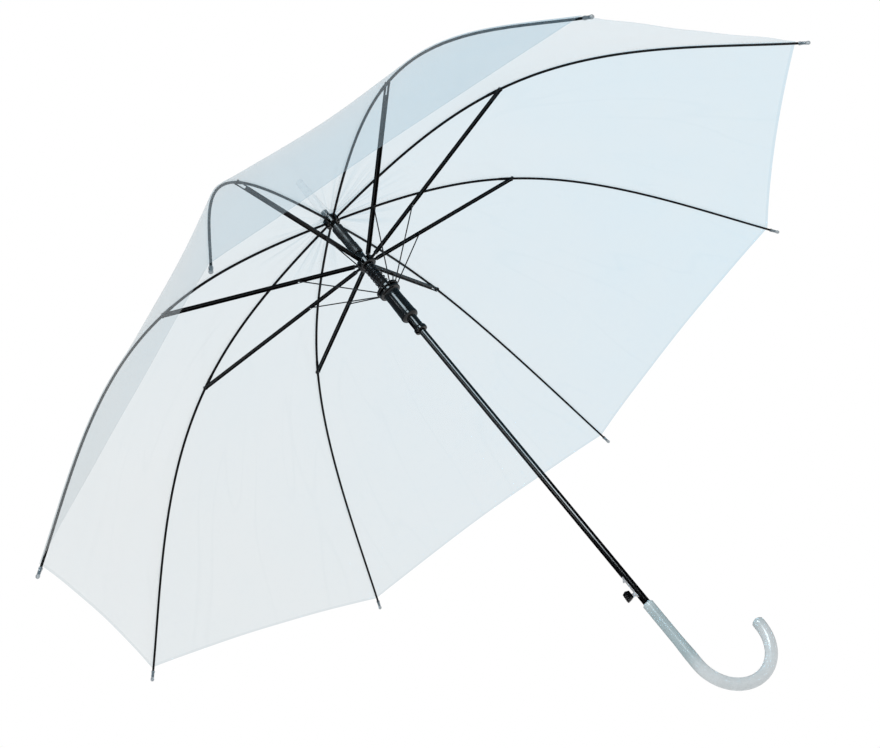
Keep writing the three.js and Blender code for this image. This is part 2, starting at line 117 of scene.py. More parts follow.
# ---- Materials ----
PLEAT_REACH = 0.11  # how far from the axis the crown's pleats run
CREASE_VEIL = 0.02  # opacity that a fold line adds
CREASE_DRIFT = 0.5  # how much the folds wander from a straight line, per metre
GRIP_FOOT_Z = -0.039  # where the straight grip ends and the hook begins
HOOK_TINT = (0.62, 0.67, 0.69)
CORE_TINT = (0.39, 0.485, 0.51)
COLLAR_TINT = (0.55, 0.63, 0.66)
PAINTED_COOL_LIGHT_SIDE = (0.81, -0.57, 0.09)  # the side towards which the film's tint is painted bluer, standing in for cool light from that side
# The film's own tint runs from PALE_TINT to BLUE_TINT towards that side; the change between them is
# painted light, not the film's colour.
PALE_TINT = (0.27, 0.4, 0.46)
BLUE_TINT = (0.12, 0.43, 0.66)


def new_material(name, **values):
    """A Principled material. Values are set on the shader's own sockets."""
    material = bpy.data.materials.new(name)
    material.use_nodes = True
    shader = material.node_tree.nodes["Principled BSDF"]
    for socket, value in values.items():
        shader.inputs[socket.replace("_", " ")].default_value = value
    return material, material.node_tree, shader


def node(tree, kind, **settings):
    made = tree.nodes.new(kind)
    for name, value in settings.items():
        if name in made.inputs:
            made.inputs[name].default_value = value
        else:
            setattr(made, name, value)
    return made


def noise(tree, scale, detail=3.0, roughness=0.5, stretch=(1, 1, 1)):
    """Noise in the object's own coordinates, in metres, stretched along the axes."""
    place = node(tree, "ShaderNodeTexCoord")
    mapping = node(tree, "ShaderNodeMapping")
    mapping.inputs["Scale"].default_value = stretch
    made = node(tree, "ShaderNodeTexNoise")
    made.inputs["Scale"].default_value = scale
    made.inputs["Detail"].default_value = detail
    made.inputs["Roughness"].default_value = roughness
    tree.links.new(place.outputs["Object"], mapping.inputs["Vector"])
    tree.links.new(mapping.outputs["Vector"], made.inputs["Vector"])
    return made.outputs["Fac"]


def ramp(tree, source, stops):
    """A colour ramp. Each stop is a position and a colour or a grey value."""
    made = node(tree, "ShaderNodeValToRGB")
    elements = made.color_ramp.elements
    while len(elements) < len(stops):
        elements.new(0.5)
    for element, (position, colour) in zip(elements, stops):
        element.position = position
        if isinstance(colour, (int, float)):
            colour = (colour,) * 3
        element.color = (*colour, 1)
    tree.links.new(source, made.inputs["Fac"])
    return made.outputs["Color"]


def bump(tree, shader, height, strength, distance):
    made = node(tree, "ShaderNodeBump")
    made.inputs["Strength"].default_value = strength
    made.inputs["Distance"].default_value = distance
    tree.links.new(height, made.inputs["Height"])
    tree.links.new(made.outputs["Normal"], shader.inputs["Normal"])


def glossy_black(name, low, high, level, base, grain, depth):
    """Glossy black with a fine grain. Low and high bound its roughness."""
    material, tree, shader = new_material(name)
    shader.inputs["Specular IOR Level"].default_value = level
    wear = noise(tree, grain, 4, 0.6)
    dark = (base, base, base * 1.15)
    worn = tuple(2.6 * channel for channel in dark)
    tree.links.new(ramp(tree, wear, [(0.35, dark), (0.85, worn)]), shader.inputs["Base Color"])
    tree.links.new(ramp(tree, noise(tree, 350, 3), [(0.3, low), (0.75, high)]), shader.inputs["Roughness"])
    bump(tree, shader, noise(tree, 6 * grain, 2), depth, 0.0002)
    return material


def steel(name, dark, bright, low, high, metallic):
    """Bare or blackened steel, with drawing marks along the shaft."""
    material, tree, shader = new_material(name, Metallic=metallic)
    marks = noise(tree, 1500, 3, 0.6, stretch=(1, 1, 0.15))
    tree.links.new(ramp(tree, marks, [(0.3, dark), (0.8, bright)]), shader.inputs["Base Color"])
    tree.links.new(ramp(tree, marks, [(0.25, low), (0.8, high)]), shader.inputs["Roughness"])
    bump(tree, shader, marks, 0.1, 0.0001)
    return material


def milky_moulding():
    """Milky moulded plastic. The steel tube inside darkens the grip, and the hook is paler."""
    material, tree, shader = new_material("milky_moulding", IOR=1.49)
    shader.inputs["Coat Weight"].default_value = 0.3
    shader.inputs["Coat Roughness"].default_value = 0.25
    place = node(tree, "ShaderNodeTexCoord")
    parts = node(tree, "ShaderNodeSeparateXYZ")
    tree.links.new(place.outputs["Object"], parts.inputs["Vector"])
    height = node(tree, "ShaderNodeMapRange")
    height.inputs["From Min"].default_value = GRIP_FOOT_Z - 0.012
    height.inputs["From Max"].default_value = GRIP_FOOT_Z + 0.09
    tree.links.new(parts.outputs["Z"], height.inputs["Value"])
    stops = [(0.0, HOOK_TINT), (0.04, HOOK_TINT), (0.24, CORE_TINT), (0.75, CORE_TINT), (1.0, COLLAR_TINT)]
    body = ramp(tree, height.outputs["Result"], stops)
    cloud = ramp(tree, noise(tree, 55, 3, 0.5), [(0.3, 0.95), (0.75, 1.03)])
    clouded = node(tree, "ShaderNodeMix", data_type="RGBA", blend_type="MULTIPLY")
    clouded.inputs["Factor"].default_value = 1.0
    tree.links.new(body, clouded.inputs["A"])
    tree.links.new(cloud, clouded.inputs["B"])
    tree.links.new(clouded.outputs["Result"], shader.inputs["Base Color"])
    tree.links.new(ramp(tree, noise(tree, 260, 3), [(0.3, 0.22), (0.8, 0.36)]), shader.inputs["Roughness"])
    bump(tree, shader, noise(tree, 160, 2), 0.03, 0.0003)
    return material


def clear_moulding(name, opacity, deep, pale):
    """Clear moulded plastic, slightly clouded. Deep and pale bound its veil's colour."""
    material, tree, shader = new_material(name, IOR=1.49, Alpha=opacity)
    shader.inputs["Coat Weight"].default_value = 0.5
    shader.inputs["Coat Roughness"].default_value = 0.05
    cloud = noise(tree, 300, 3)
    tree.links.new(ramp(tree, cloud, [(0.3, deep), (0.8, pale)]), shader.inputs["Base Color"])
    tree.links.new(ramp(tree, noise(tree, 500, 2), [(0.3, 0.1), (0.8, 0.22)]), shader.inputs["Roughness"])
    bump(tree, shader, noise(tree, 700, 2), 0.05, 0.0003)
    return material


def mapped(tree, source, low, high, out_low, out_high):
    """Source, rescaled so that low to high becomes out_low to out_high, and held there."""
    made = node(tree, "ShaderNodeMapRange")
    made.inputs["From Min"].default_value = low
    made.inputs["From Max"].default_value = high
    made.inputs["To Min"].default_value = out_low
    made.inputs["To Max"].default_value = out_high
    tree.links.new(source, made.inputs["Value"])
    return made.outputs["Result"]


def combined(tree, operation, first, second):
    made = node(tree, "ShaderNodeMath", operation=operation)
    tree.links.new(first, made.inputs[0])
    tree.links.new(second, made.inputs[1])
    return made.outputs["Value"]


def spread(tree):
    """How far a point is from the shaft's axis, and which way it lies from it."""
    place = node(tree, "ShaderNodeTexCoord")
    flat = node(tree, "ShaderNodeVectorMath", operation="MULTIPLY")
    flat.inputs[1].default_value = (1, 1, 0)
    tree.links.new(place.outputs["Object"], flat.inputs[0])
    reach = node(tree, "ShaderNodeVectorMath", operation="LENGTH")
    tree.links.new(flat.outputs["Vector"], reach.inputs[0])
    around = node(tree, "ShaderNodeVectorMath", operation="NORMALIZE")
    tree.links.new(flat.outputs["Vector"], around.inputs[0])
    return reach.outputs["Value"], around.outputs["Vector"]


def crown_pleats(tree, reach, around):
    """Fine pleats that fan out from the crown, and fade out towards the ribs' middles."""
    streak = node(tree, "ShaderNodeTexNoise")
    streak.inputs["Scale"].default_value = 9.0
    streak.inputs["Detail"].default_value = 3.0
    tree.links.new(around, streak.inputs["Vector"])
    sharp = mapped(tree, streak.outputs["Fac"], 0.48, 0.66, 0, 0.24)
    fade = mapped(tree, reach, 0.015, PLEAT_REACH, 1, 0)
    return combined(tree, "MULTIPLY", sharp, fade)


def crease_lines(tree, around):
    """Faint thin folds that run outwards, left in the film from when it was rolled up."""
    place = node(tree, "ShaderNodeTexCoord")
    drift = node(tree, "ShaderNodeVectorMath", operation="MULTIPLY_ADD")
    drift.inputs[1].default_value = (CREASE_DRIFT,) * 3
    tree.links.new(place.outputs["Object"], drift.inputs[0])
    tree.links.new(around, drift.inputs[2])
    field = node(tree, "ShaderNodeTexNoise")
    field.inputs["Scale"].default_value = 5.0
    field.inputs["Detail"].default_value = 1.0
    tree.links.new(drift.outputs["Vector"], field.inputs["Vector"])
    rise = mapped(tree, field.outputs["Fac"], 0.485, 0.5, 0, CREASE_VEIL)
    fall = mapped(tree, field.outputs["Fac"], 0.5, 0.515, CREASE_VEIL, 0)
    return combined(tree, "MINIMUM", rise, fall)


def clear_film(name, least, most, shade):
    """Clear flexible film. Least and most are its opacity seen head on and at a slant. It carries
    faint haze, folds and crown pleats, and its tint is painted bluer towards one side, a painted light
    standing in for cool light from there."""
    material, tree, shader = new_material(name, IOR=1.0)
    shader.inputs["Transmission Weight"].default_value = 0.7
    shader.inputs["Coat Weight"].default_value = 0.5
    shader.inputs["Coat Roughness"].default_value = 0.14
    shader.inputs["Sheen Weight"].default_value = 0.7
    shader.inputs["Sheen Roughness"].default_value = 0.4
    haze = noise(tree, 9, 5, 0.6, stretch=(1, 1, 1.6))
    # Painted light: the tint turns from pale to blue along one side of the canopy, standing in for cool
    # light falling from there.
    place = node(tree, "ShaderNodeTexCoord")
    side = node(tree, "ShaderNodeVectorMath", operation="DOT_PRODUCT")
    tree.links.new(place.outputs["Object"], side.inputs[0])
    side.inputs[1].default_value = PAINTED_COOL_LIGHT_SIDE
    lean = mapped(tree, side.outputs["Value"], -CANOPY_RADIUS, CANOPY_RADIUS, 0, 1)
    tints = [(0.2, tuple(shade * c for c in PALE_TINT)), (0.85, tuple(shade * c for c in BLUE_TINT))]
    tint_and_painted_light = ramp(tree, lean, tints)
    mottle = ramp(tree, haze, [(0.3, 0.92), (0.75, 1.04)])
    tinted = node(tree, "ShaderNodeMix", data_type="RGBA", blend_type="MULTIPLY")
    tinted.inputs["Factor"].default_value = 1.0
    tree.links.new(tint_and_painted_light, tinted.inputs["A"])
    tree.links.new(mottle, tinted.inputs["B"])
    tree.links.new(tinted.outputs["Result"], shader.inputs["Base Color"])
    tree.links.new(ramp(tree, noise(tree, 40, 4), [(0.3, 0.07), (0.8, 0.2)]), shader.inputs["Roughness"])
    slant = node(tree, "ShaderNodeLayerWeight")
    slant.inputs["Blend"].default_value = 0.35
    veil = mapped(tree, slant.outputs["Facing"], 0, 1, least, most)
    veil = combined(tree, "ADD", veil, mapped(tree, haze, 0.3, 0.75, -0.02, 0.02))
    reach, around = spread(tree)
    veil = combined(tree, "ADD", veil, crease_lines(tree, around))
    veil = combined(tree, "ADD", veil, crown_pleats(tree, reach, around))
    tree.links.new(veil, shader.inputs["Alpha"])
    bump(tree, shader, noise(tree, 60, 4, 0.6, stretch=(1, 1, 0.4)), 0.12, 0.002)
    return material


ENAMEL = glossy_black("black_enamel", 0.2, 0.32, 0.12, 0.002, 900, 0.02)
SHAFT_ENAMEL = glossy_black("shaft_enamel", 0.08, 0.16, 0.5, 0.002, 900, 0.01)
MOULDING = glossy_black("black_moulding", 0.1, 0.2, 0.45, 0.002, 240, 0.05)
SATIN = glossy_black("black_satin", 0.34, 0.46, 0.45, 0.003, 240, 0.03)
WIRE = steel("blackened_wire", (0.01, 0.01, 0.012), (0.05, 0.052, 0.056), 0.14, 0.28, 0.8)
BRIGHT = steel("plated_strip", (0.55, 0.57, 0.6), (0.78, 0.8, 0.82), 0.18, 0.34, 0.3)
MILKY = milky_moulding()
CLEAR = clear_moulding("clear_moulding", 0.1, (0.5, 0.6, 0.66), (0.72, 0.8, 0.84))
SMOKY = clear_moulding("smoky_moulding", 0.55, (0.1, 0.15, 0.19), (0.3, 0.38, 0.43))
FILM = clear_film("clear_film", 0.38, 0.38, 1.0)
FILM_WELD = clear_film("clear_film_weld", 0.47, 0.48, 0.95)
FILM_HEM = clear_film("clear_film_hem", 0.44, 0.5, 0.95)


# ---- Mesh making ----
def make_object(name, vertices, faces, material, sharp=None):
    mesh = bpy.data.meshes.new(name)
    mesh.from_pydata([tuple(v) for v in vertices], [], [tuple(f) for f in faces])
    mesh.validate()
    mesh.materials.append(material)
    made = bpy.data.objects.new(name, mesh)
    bpy.context.collection.objects.link(made)
    if sharp is None:
        mesh.shade_smooth()
    else:
        mesh.set_sharp_from_angle(angle=math.radians(sharp))
    return made


def turned(name, outline, material, segments=64, sharp=35):
    """Turns an outline of (radius, z) pairs in millimetres about the shaft's axis. An outline
    that starts and ends on the axis is a solid of revolution, and any other closes on itself."""
    rings, vertices = [], []
    for radius, z in outline:
        if radius == 0:
            rings.append([len(vertices)] * segments)
            vertices.append((0, 0, z * MM))
            continue
        rings.append(list(range(len(vertices), len(vertices) + segments)))
        for i in range(segments):
            angle = 2 * math.pi * i / segments
            vertices.append((radius * MM * math.cos(angle), radius * MM * math.sin(angle), z * MM))
    if outline[0][0] != 0:
        rings.append(rings[0])
    faces = []
    for low, high in zip(rings, rings[1:]):
        for i in range(segments):
            j = (i + 1) % segments
            corners = (low[i], low[j], high[j], high[i])
            faces.append(tuple(dict.fromkeys(corners)))
    return make_object(name, vertices, faces, material, sharp)


def swept(name, points, radii, material, sides=12, up=(0, 1, 0), flat=None):
    """Sweeps a round section along points. Flat holds, for each point, the section's half
    width across the up direction's normal as a share of its radius. The ends are rounded."""
    points = np.array(points, float)
    radii = np.broadcast_to(np.array(radii, float), (len(points),)).copy()
    flat = np.ones(len(points)) if flat is None else np.array(flat, float)
    tangents = np.gradient(points, axis=0)
    tangents /= np.linalg.norm(tangents, axis=1)[:, None]
    stations = []
    for share in (0.0, 0.45, 0.8):
        stations.append((points[0] - tangents[0] * radii[0] * 0.5 * (1 - share), 0, share))
    stations += [(point, i, 1.0) for i, point in enumerate(points)]
    for share in (0.8, 0.45, 0.0):
        stations.append((points[-1] + tangents[-1] * radii[-1] * 0.5 * (1 - share), -1, share))
    vertices, rings = [], []
    side = np.array(up, float)
    for place, i, share in stations:
        side = side - (side @ tangents[i]) * tangents[i]
        side /= np.linalg.norm(side)
        other = np.cross(tangents[i], side)
        if share == 0:
            rings.append([len(vertices)] * sides)
            vertices.append(place)
            continue
        rings.append(list(range(len(vertices), len(vertices) + sides)))
        reach = radii[i] * math.sqrt(share)
        for n in range(sides):
            angle = 2 * math.pi * n / sides
            across = side * math.cos(angle) * flat[i]
            vertices.append(place + reach * (across + other * math.sin(angle)))
    faces = []
    for low, high in zip(rings, rings[1:]):
        for n in range(sides):
            m = (n + 1) % sides
            faces.append(tuple(dict.fromkeys((low[n], low[m], high[m], high[n]))))
    return make_object(name, vertices, faces, material)


def spoke_turn(k):
    return Matrix.Rotation(2 * math.pi * k / RIB_COUNT, 4, "Z")


def block(name, low, high, turn=Matrix.Identity(4)):
    """A box between two corners, in millimetres, used as a cutter."""
    corners = [
        turn @ Vector((x * MM, y * MM, z * MM))
        for x in (low[0], high[0])
        for y in (low[1], high[1])
        for z in (low[2], high[2])
    ]
    faces = [(0, 1, 3, 2), (4, 6, 7, 5), (0, 4, 5, 1), (2, 3, 7, 6), (0, 2, 6, 4), (1, 5, 7, 3)]
    mesh = bpy.data.meshes.new(name)
    mesh.from_pydata(corners, [], faces)
    made = bpy.data.objects.new(name, mesh)
    bpy.context.collection.objects.link(made)
    return made


def finished_mesh(made):
    """Applies the object's modifiers."""
    depsgraph = bpy.context.evaluated_depsgraph_get()
    mesh = bpy.data.meshes.new_from_object(made.evaluated_get(depsgraph))
    made.modifiers.clear()
    made.data = mesh


def carve(made, cutters, bevel):
    """Cuts the cutters out of a piece, and rounds its edges by bevel, in millimetres."""
    for cutter in cutters:
        modifier = made.modifiers.new("cut", "BOOLEAN")
        modifier.operation = "DIFFERENCE"
        modifier.solver = "EXACT"
        modifier.object = cutter
    finished_mesh(made)
    for cutter in cutters:
        bpy.data.objects.remove(cutter)
    edge = made.modifiers.new("edge", "BEVEL")
    edge.width = bevel * MM
    edge.segments = 2
    edge.limit_method = "ANGLE"
    edge.angle_limit = math.radians(40)
    finished_mesh(made)
    made.data.set_sharp_from_angle(angle=math.radians(38))


def settle(made, body, slot, *nodes):
    """Lets a piece ride on a body and stand for its CAD nodes."""
    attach(made, body)
    if nodes:
        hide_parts(*nodes)
    return made


# ---- The ribs' curve and the film over it ----
# How far the curve has dropped at the share s = (x / canopy radius) squared, in canopy radii:
# the constant and the factors of s, s squared and s cubed, as in the CAD.
def rib_z(x):
    s = (x / CANOPY_RADIUS) ** 2
    return APEX_Z - CANOPY_RADIUS * (0.0098 + 0.1567 * s + 0.7003 * s**2 - 0.3478 * s**3)


def rib_slope(x):
    s = x / CANOPY_RADIUS
    return -(0.3134 * s + 2.8012 * s**3 - 2.0868 * s**5)


def rib_points(start, end, count):
    xs = np.linspace(start, end, count)
    return np.stack([xs, np.zeros(count), rib_z(xs)], 1)


HALF_PITCH = math.pi / RIB_COUNT
FILM_LIFT = 2.5 * MM
FILM_INNER = 5.5 * MM
FILM_OUTER = 501 * MM
HEM_SCALLOP = 4 * MM
HEM_WIDTH = 2.2 * MM
WELD_HALF = 3.2 * MM
CROWN_RISE = 5.4 * MM
CROWN_RADIUS = 60 * MM
FILM_SAG = 5 * MM
PUCKER_HEIGHT = 0.45 * MM
PUCKER_PITCH = 2.6 * MM
CREASE_HEIGHT = 1.3 * MM
FAN_HEIGHT = 1.2 * MM
FAN_REACH = 38 * MM
WAVE_SET = (
    ((31.0, 12.0, 9.0), 0.4),
    ((-14.0, 27.0, 21.0), 2.1),
    ((8.0, -39.0, 17.0), 4.4),
    ((47.0, 23.0, -31.0), 1.3),
)


def waves(points):
    """A smooth random-looking field over space, between about -1 and 1."""
    total = np.zeros(len(points))
    for direction, phase in WAVE_SET:
        total += np.sin(points @ np.array(direction) + phase)
    return total / len(WAVE_SET)


def film_base(distance, share, side):
    """Film stretched straight between two ribs: share goes from 0 at the rib to 1 at mid-gore."""
    crown = np.clip(1 - distance / CROWN_RADIUS, 0, None) ** 2
    lift = FILM_LIFT * np.hypot(1, rib_slope(distance))
    reach = math.sin(HALF_PITCH) * distance * share
    x = distance - reach * math.sin(HALF_PITCH)
    y = side * reach * math.cos(HALF_PITCH)
    return np.stack([x, y, rib_z(distance) + lift + CROWN_RISE * crown], 1)


def film_normal(base, distance, share, side):
    step = 0.0005
    along = base(distance + step, share, side) - base(distance - step, share, side)
    across = base(distance, share + 0.01, side) - base(distance, share - 0.01, side)
    normal = np.cross(along, across) * side
    return normal / np.linalg.norm(normal, axis=1)[:, None]


def film_surface(distance, share, side, k):
    """The film with its slight sag between the ribs, its puckers by the welds and its creases."""
    flat = film_base(distance, share, side)
    normal = film_normal(film_base, distance, share, side)
    from_rib = math.sin(HALF_PITCH) * distance * share
    position = distance / CANOPY_RADIUS
    sag = -FILM_SAG * np.sin(math.pi * np.clip(position, 0, 1)) * (2 * share - share**2)
    pucker = PUCKER_HEIGHT * np.sin(distance / PUCKER_PITCH) * np.exp(-from_rib / (11 * MM))
    pucker = pucker * (1 - np.exp(-from_rib / (3 * MM))) * np.clip((position - 0.2) * 3, 0, 1)
    turn = np.array(spoke_turn(k).to_3x3())
    fan = FAN_HEIGHT * np.exp(-distance / FAN_REACH)
    fan = fan * np.sin(4 * math.pi * share) * np.sin(math.pi * share)
    crease = CREASE_HEIGHT * waves(flat @ turn.T) * np.clip(from_rib / (40 * MM), 0, 1) ** 2
    return (flat + normal * (sag + pucker + crease + fan)[:, None]) @ turn.T


def hem_distance(share):
    return FILM_OUTER - HEM_SCALLOP * (2 * share - share**2)


def half_gore(name, k, side, outer):
    """Half a gore, from its rib to the middle of the gore, within or beyond the rib joints."""
    columns = 13 if outer else 9
    rows = 44 if outer else 30
    j_share = np.linspace(0, 1, columns - 1)
    i_share = np.linspace(0, 1, rows)
    distance, share = [], []
    for t in i_share:
        for n in range(columns):
            if outer:
                along = min(t / i_share[-2], 1)
                rough = JOINT_X + along * (FILM_OUTER - JOINT_X)
            else:
                rough = FILM_INNER + t * (JOINT_X - FILM_INNER)
            weld = min(0.5, WELD_HALF / (math.sin(HALF_PITCH) * rough))
            f = 0.0 if n == 0 else weld + (1 - weld) * j_share[n - 1]
            if outer:
                last = hem_distance(f)
                d = JOINT_X + along * (last - HEM_WIDTH - JOINT_X) if t < 1 else last
            else:
                d = rough
            distance.append(d)
            share.append(f)
    distance, share = np.array(distance), np.array(share)

    def surface(d, f, s):
        return film_surface(d, f, s, k)

    vertices = surface(distance, share, side)
    normals = film_normal(surface, distance, share, side)
    faces, kinds = [], []
    for i in range(rows - 1):
        for n in range(columns - 1):
            a = i * columns + n
            quad = (a, a + columns, a + columns + 1, a + 1)
            faces.append(quad if side > 0 else quad[::-1])
            kinds.append(2 if outer and i == rows - 2 else 1 if n == 0 else 0)
    made = make_object(name, vertices, faces, FILM)
    made.data.materials.append(FILM_WELD)
    made.data.materials.append(FILM_HEM)
    made.data.polygons.foreach_set("material_index", kinds)
    made.data.normals_split_custom_set_from_vertices([tuple(v) for v in normals])
    return made


def declare_film(made, start, end):
    """Gives a half gore its own copy of its mesh."""
    along = np.array([end[0] - start[0], 0, end[1] - start[1]])
    along /= np.linalg.norm(along)
    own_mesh(made)


def make_canopy():
    notch = (PIN_RADIUS, NOTCH_Z)
    joint = (JOINT_X, JOINT_Z)
    tip = (CANOPY_RADIUS, rib_z(CANOPY_RADIUS))
    for k in range(RIB_COUNT):
        for side, hand in ((1, "left"), (-1, "right")):
            inner = half_gore(f"film_crown_{hand}_{k + 1}", k, side, outer=False)
            settle(inner, f"rib_inner_{k + 1}", "clear_film", f"canopy_panel_{k + 1}")
            declare_film(inner, notch, joint)
            outer = half_gore(f"film_skirt_{hand}_{k + 1}", k, side, outer=True)
            settle(outer, f"rib_outer_{k + 1}", "clear_film", f"canopy_panel_{k + 1}")
            declare_film(outer, joint, tip)


# ---- Frame pieces ----
def turned_to_spoke(made, k):
    made.data.transform(spoke_turn(k))
    return made


def make_ribs():
    """Round rods with a flattened lug in the notch and a crimped sleeve beside the joint."""
    for k in range(RIB_COUNT):
        points = rib_points(PIN_RADIUS, JOINT_X - JOINT_GAP, 60)
        flat = np.clip((points[:, 0] - PIN_RADIUS - 3 * MM) / (6 * MM), 0, 1)
        sleeve = points[:, 0] > JOINT_X - SLEEVE_LENGTH
        radii = np.where(sleeve, SLEEVE_RADIUS, RIB_RADIUS)
        inner = swept(f"inner_rib_{k + 1}", points, radii, ENAMEL, flat=0.6 + 0.4 * flat)
        settle(turned_to_spoke(inner, k), f"rib_inner_{k + 1}", "black_steel", f"rib_inner_{k + 1}")
        points = rib_points(JOINT_X + JOINT_GAP, CANOPY_RADIUS - 4 * MM, 60)
        places = [JOINT_X, JOINT_X + 20 * MM, CANOPY_RADIUS]
        radii = np.interp(points[:, 0], places, [RIB_RADIUS, 1.45 * MM, RIB_TIP_RADIUS])
        outer = swept(f"outer_rib_{k + 1}", points, radii, ENAMEL)
        settle(turned_to_spoke(outer, k), f"rib_outer_{k + 1}", "black_steel", f"rib_outer_{k + 1}")


def make_caps():
    """Clear caps on the ribs' ends: a flared mouth that holds the film's corner, and a bead tip."""
    tilt = math.pi / 2 - math.atan(rib_slope(CANOPY_RADIUS))
    outline = [(0, -4.8), (1.3, -5), (1.35, -12), (2.1, -12), (2.1, -10.4), (1.75, -9.8),
               (1.7, -4), (2.05, -3.2), (2.1, -1.8), (1.6, -0.6), (0.9, -0.1), (0, 0)]
    for k in range(RIB_COUNT):
        cap = turned(f"tip_cap_{k + 1}", outline, SMOKY, segments=24, sharp=50)
        cap.data.transform(Matrix.Rotation(tilt, 4, "Y"))
        cap.data.transform(Matrix.Translation((CANOPY_RADIUS, 0, rib_z(CANOPY_RADIUS))))
        settle(turned_to_spoke(cap, k), f"rib_outer_{k + 1}", "clear_plastic", f"rib_cap_{k + 1}")


def make_struts():
    """Thin wires, running straight down into the runner's flange and bent across in the stretcher."""
    for k in range(RIB_COUNT):
        head = Vector((STRUT_X, 0, STRUT_Z))
        low = Vector((STRUT_FOOT[0], 0, STRUT_FOOT[1]))
        run = (head - low).normalized()
        points = [low - run * 0.4 * MM]
        points += [low + run * (head - low).length * t for t in np.linspace(0.02, 0.985, 12)]
        points += [
            head + Vector((0, y * MM, 0)) - run * (1.2 - abs(y)) * 0.3 * MM
            for y in (0.2, 1.0, 2.0, 3.0)
        ]
        wire = swept(f"strut_wire_{k + 1}", points, STRUT_RADIUS, WIRE, sides=10, up=(0.6, 0, -0.8))
        settle(turned_to_spoke(wire, k), f"strut_{k + 1}", "spring_steel", f"strut_{k + 1}")


def make_rivets():
    """Domed rivet heads on both sides of each fork."""
    outline = [(0, 0), (1.5, 0), (1.5, 0.15), (1.2, 0.42), (0.7, 0.56), (0, 0.6)]
    for k in range(RIB_COUNT):
        for side in (1, -1):
            head = turned(f"rivet_{'left' if side > 0 else 'right'}_{k + 1}", outline, WIRE, segments=20)
            head.data.transform(Matrix.Rotation(-side * math.pi / 2, 4, "X"))
            head.data.transform(Matrix.Translation((JOINT_X, side * 2.45 * MM, JOINT_Z)))
            settle(turned_to_spoke(head, k), f"stretcher_{k + 1}", "spring_steel")


def repaint(material, slot, *nodes):
    """Gives CAD nodes that keep their own shape a finished material."""
    for name in nodes:
        piece = frame["nodes"][name]
        piece.data.materials.clear()
        piece.data.materials.append(material)


def spoke_cutters(half_width, low, high, z_low, z_high):
    return [
        block(f"cutter_{k}", (low, -half_width, z_low), (high, half_width, z_high), spoke_turn(k))
        for k in range(RIB_COUNT)
    ]


def make_centre():
    """Notch, spacer and hub, turned smooth, with slots cut in the notch and the hub."""
    z = NOTCH_Z / MM
    notch = turned("notch_body", [
        (BORE, z - 4.5), (8.4, z - 4.5), (9.2, z - 3.7), (9.2, z + 4.6), (8.4, z + 5.5), (BORE, z + 5.5),
    ], MOULDING)
    carve(notch, spoke_cutters(1.2, 5.4, 12, z - 6, z + 2.1), 0.2)
    settle(notch, "stick", "black_plastic", "top_notch")
    low, high = bottom_of("spacer_sleeve") / MM, top_of("spacer_sleeve") / MM
    middle = (low + high) / 2
    spacer = turned("spacer_tube", [
        (BORE, low), (5.9, low), (6.6, low + 0.8), (6.6, middle - 9), (6.1, middle - 8),
        (6.1, middle + 8), (6.6, middle + 9), (6.6, high - 0.8), (5.9, high), (BORE, high),
    ], SATIN)
    settle(spacer, "stick", "black_plastic", "spacer_sleeve")
    z = HUB_Z / MM
    hub = turned("hub_body", [
        (BORE, z - 39), (5.5, z - 39), (5.8, z - 38.6), (5.8, z - 5), (9.6, z - 5), (10.4, z - 4.4),
        (10.8, z - 3.4), (10.8, z + 3.6), (10, z + 4.5),
        (5.3, z + 4.5), (5.3, z + 14.9), (4.9, z + 15.5), (BORE, z + 15.5),
    ], MOULDING)
    carve(hub, spoke_cutters(1.2, 5.4, 13, z - 2.1, z + 6), 0.2)
    settle(hub, "hub", "black_plastic", "hub")


def make_runner():
    """Flanges, spring pocket, body with a rimmed lower end, slim neck and bead."""
    low, high = bottom_of("runner") / MM, top_of("runner") / MM
    pocket, floor = 7.7, low + 26
    outline = [
        (4.35, low), (6.6, low), (7.3, low + 0.4), (7.5, low + 1.2), (7.5, low + 4.2), (7.2, low + 4.9),
        (6.1, low + 6), (6.1, low + 20.5), (7.2, low + 20.7), (8.8, low + 21.3), (9.8, low + 22.4),
        (10.2, low + 23.6), (10.3, low + 25.2), (10.1, low + 26.6), (9.8, low + 28), (9.5, low + 42),
        (9.2, low + 50), (9.2, low + 60.2), (9.8, low + 61), (12.5, low + 61.3), (13, low + 61.8),
        (13, high - 5.5), (12.6, high - 5), (10.2, high - 4.6), (10.2, high - 3.6), (13.5, high - 3.2),
        (13.9, high - 2.7), (13.9, high - 0.6), (13.4, high), (pocket, high), (pocket, floor),
        (4.35, floor),
    ]
    runner = turned("runner_body", outline, MOULDING)
    cutters = spoke_cutters(1.1, 10.4, 16, high - 3.6, high + 2)
    cutters.append(block("cutter_catch", (-9, -1.8, low - 1), (-2, 1.8, low + 18)))
    carve(runner, cutters, 0.2)
    settle(runner, "runner", "black_plastic", "runner")


def make_spring():
    """An even coil that rides on the hub."""
    low, high = bottom_of("opening_spring"), top_of("opening_spring")
    steps = 30
    count = COIL_TURNS * steps
    t = np.linspace(0, 1, count)
    angle = 2 * math.pi * COIL_TURNS * t
    z = low + COIL_WIRE + (high - low - 2 * COIL_WIRE) * t
    points = np.stack([COIL_RADIUS * np.cos(angle), COIL_RADIUS * np.sin(angle), z], 1)
    spring = swept("spring_coil", points, COIL_WIRE, WIRE, sides=10, up=(0, 0, 1))
    settle(spring, "hub", "spring_steel", "opening_spring")
    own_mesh(spring)


